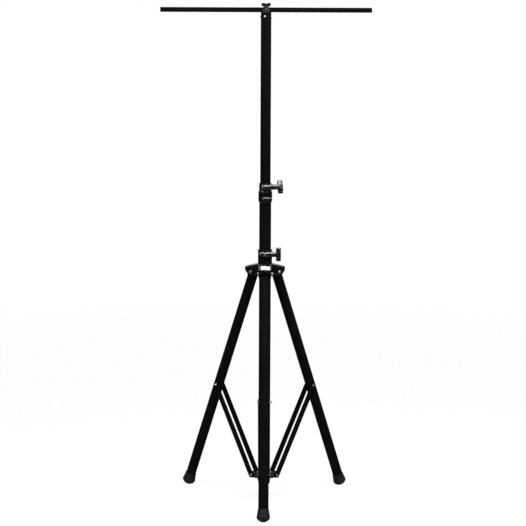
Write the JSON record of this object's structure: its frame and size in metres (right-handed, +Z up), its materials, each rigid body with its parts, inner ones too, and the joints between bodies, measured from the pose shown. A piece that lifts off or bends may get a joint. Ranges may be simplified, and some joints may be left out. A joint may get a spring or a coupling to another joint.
{
  "type": "lighting t bar stand",
  "caption": "Folding tripod lighting stand with strut-braced legs, a sliding leg hub, a telescoping mast with clamp collars and a square cross bar clamped in its head.",
  "frame": {"origin": "on the floor, under the middle of the whole stand as seen from above; the mast stands 76.3 mm behind it (+Y)", "axes": "+Z up along the mast, +X along the cross bar to the right as the picture sees it, -Y towards the viewer and the front leg"},
  "size_m": [0.7, 0.5038, 1.6818],
  "materials": {
    "black_paint": "black powder coat, satin",
    "black_casting": "black powder-coated casting, satin",
    "black_plastic": "moulded black plastic, fine grain",
    "black_rubber": "moulded black rubber, matt",
    "dark_nylon": "black nylon, smooth",
    "zinc": "bright zinc-plated steel"
  },
  "bodies": {
    "lower_mast": {"lower_mast_tube": "black_paint", "mast_foot_plug": "black_plastic", "spreader_bracket": "black_casting", "spreader_screw_1": "zinc", "spreader_screw_2": "zinc", "spreader_screw_3": "zinc", "mast_collar": "black_casting", "mast_collar_liner": "dark_nylon", "mast_clamp_bolt": "zinc", "mast_pinch_bolt": "zinc"},
    "leg_hub_body": {"leg_hub": "black_casting", "leg_hub_liner": "dark_nylon", "hub_clamp_bolt": "zinc", "front_leg_pivot_bolt": "zinc", "front_leg_pivot_nut": "zinc", "right_leg_pivot_bolt": "zinc", "right_leg_pivot_nut": "zinc", "left_leg_pivot_bolt": "zinc", "left_leg_pivot_nut": "zinc"},
    "front_leg": {"front_leg_tube": "black_paint", "front_leg_top_plug": "black_plastic", "front_foot": "black_rubber", "front_strut_bolt": "zinc", "front_strut_nut": "zinc"},
    "front_strut": {"front_strut_strip_a": "black_paint", "front_strut_strip_b": "black_paint", "front_strut_rivet_a": "zinc", "front_strut_rivet_b": "zinc"},
    "right_leg": {"right_leg_tube": "black_paint", "right_leg_top_plug": "black_plastic", "right_foot": "black_rubber", "right_strut_bolt": "zinc", "right_strut_nut": "zinc"},
    "right_strut": {"right_strut_strip_a": "black_paint", "right_strut_strip_b": "black_paint", "right_strut_rivet_a": "zinc", "right_strut_rivet_b": "zinc"},
    "left_leg": {"left_leg_tube": "black_paint", "left_leg_top_plug": "black_plastic", "left_foot": "black_rubber", "left_strut_bolt": "zinc", "left_strut_nut": "zinc"},
    "left_strut": {"left_strut_strip_a": "black_paint", "left_strut_strip_b": "black_paint", "left_strut_rivet_a": "zinc", "left_strut_rivet_b": "zinc"},
    "mast_bush": {"guide_bush": "dark_nylon"},
    "upper_mast": {"upper_mast_tube": "black_paint", "tbar_head": "black_casting", "head_screw_1": "zinc", "head_screw_2": "zinc", "head_screw_3": "zinc", "head_screw_4": "zinc"},
    "tbar": {"tbar_tube": "black_paint", "tbar_cap_left": "black_plastic", "tbar_cap_right": "black_plastic"},
    "mast_clamp_knob": {"mast_knob": "black_plastic"},
    "hub_clamp_knob": {"hub_knob": "black_plastic"},
    "tbar_clamp_knob": {"head_knob": "black_plastic", "head_knob_screw": "zinc"}
  },
  "joints": [
    {"name": "hub_slide", "type": "slide", "parent": "lower_mast", "child": "leg_hub_body", "axis": [0, 0, 1], "range_m": [0, 0.05505]},
    {"name": "front_leg_hinge", "type": "hinge", "parent": "leg_hub_body", "child": "front_leg", "pos_m": [0, 0.03334, 0.781], "axis": [1, 0, 0], "range_deg": [0, 17.4]},
    {"name": "front_strut_hinge", "type": "hinge", "parent": "front_leg", "child": "front_strut", "pos_m": [0, -0.10665, 0.37443], "axis": [1, 0, 0], "range_deg": [-40.08, 0]},
    {"name": "right_leg_hinge", "type": "hinge", "parent": "leg_hub_body", "child": "right_leg", "pos_m": [0.03724, 0.09784, 0.781], "axis": [-0.5, 0.866, 0], "range_deg": [0, 17.4]},
    {"name": "right_strut_hinge", "type": "hinge", "parent": "right_leg", "child": "right_strut", "pos_m": [0.15848, 0.16784, 0.37443], "axis": [-0.5, 0.866, 0], "range_deg": [-40.08, 0]},
    {"name": "left_leg_hinge", "type": "hinge", "parent": "leg_hub_body", "child": "left_leg", "pos_m": [-0.03724, 0.09784, 0.781], "axis": [-0.5, -0.866, 0], "range_deg": [0, 17.4]},
    {"name": "left_strut_hinge", "type": "hinge", "parent": "left_leg", "child": "left_strut", "pos_m": [-0.15848, 0.16784, 0.37443], "axis": [-0.5, -0.866, 0], "range_deg": [-40.08, 0]},
    {"name": "mast_slide", "type": "slide", "parent": "lower_mast", "child": "mast_bush", "axis": [0, 0, 1], "range_m": [-0.55, 0.25]},
    {"name": "mast_turn", "type": "hinge", "parent": "mast_bush", "child": "upper_mast", "pos_m": [0, 0.07634, 1], "axis": [0, 0, 1], "continuous": true},
    {"name": "tbar_slide", "type": "slide", "parent": "upper_mast", "child": "tbar", "axis": [1, 0, 0], "range_m": [-0.31, 0.31]},
    {"name": "mast_knob_turn", "type": "hinge", "parent": "lower_mast", "child": "mast_clamp_knob", "pos_m": [0.02235, 0.05571, 1.0725], "axis": [0.9613, 0.2756, 0], "range_deg": [0, 540]},
    {"name": "hub_knob_turn", "type": "hinge", "parent": "leg_hub_body", "child": "hub_clamp_knob", "pos_m": [0.0169, 0.04834, 0.8458], "axis": [1, 0, 0], "range_deg": [0, 540]},
    {"name": "head_knob_turn", "type": "hinge", "parent": "upper_mast", "child": "tbar_clamp_knob", "pos_m": [0, 0.07634, 1.67], "axis": [0, 0, 1], "range_deg": [0, 540]}
  ],
  "couplings": [
    {"joint": "front_leg_hinge", "follows": "hub_slide", "rad_per_m": 5.453},
    {"joint": "front_strut_hinge", "follows": "hub_slide", "rad_per_m": -12.61},
    {"joint": "right_leg_hinge", "follows": "hub_slide", "rad_per_m": 5.453},
    {"joint": "right_strut_hinge", "follows": "hub_slide", "rad_per_m": -12.61},
    {"joint": "left_leg_hinge", "follows": "hub_slide", "rad_per_m": 5.453},
    {"joint": "left_strut_hinge", "follows": "hub_slide", "rad_per_m": -12.61}
  ]
}
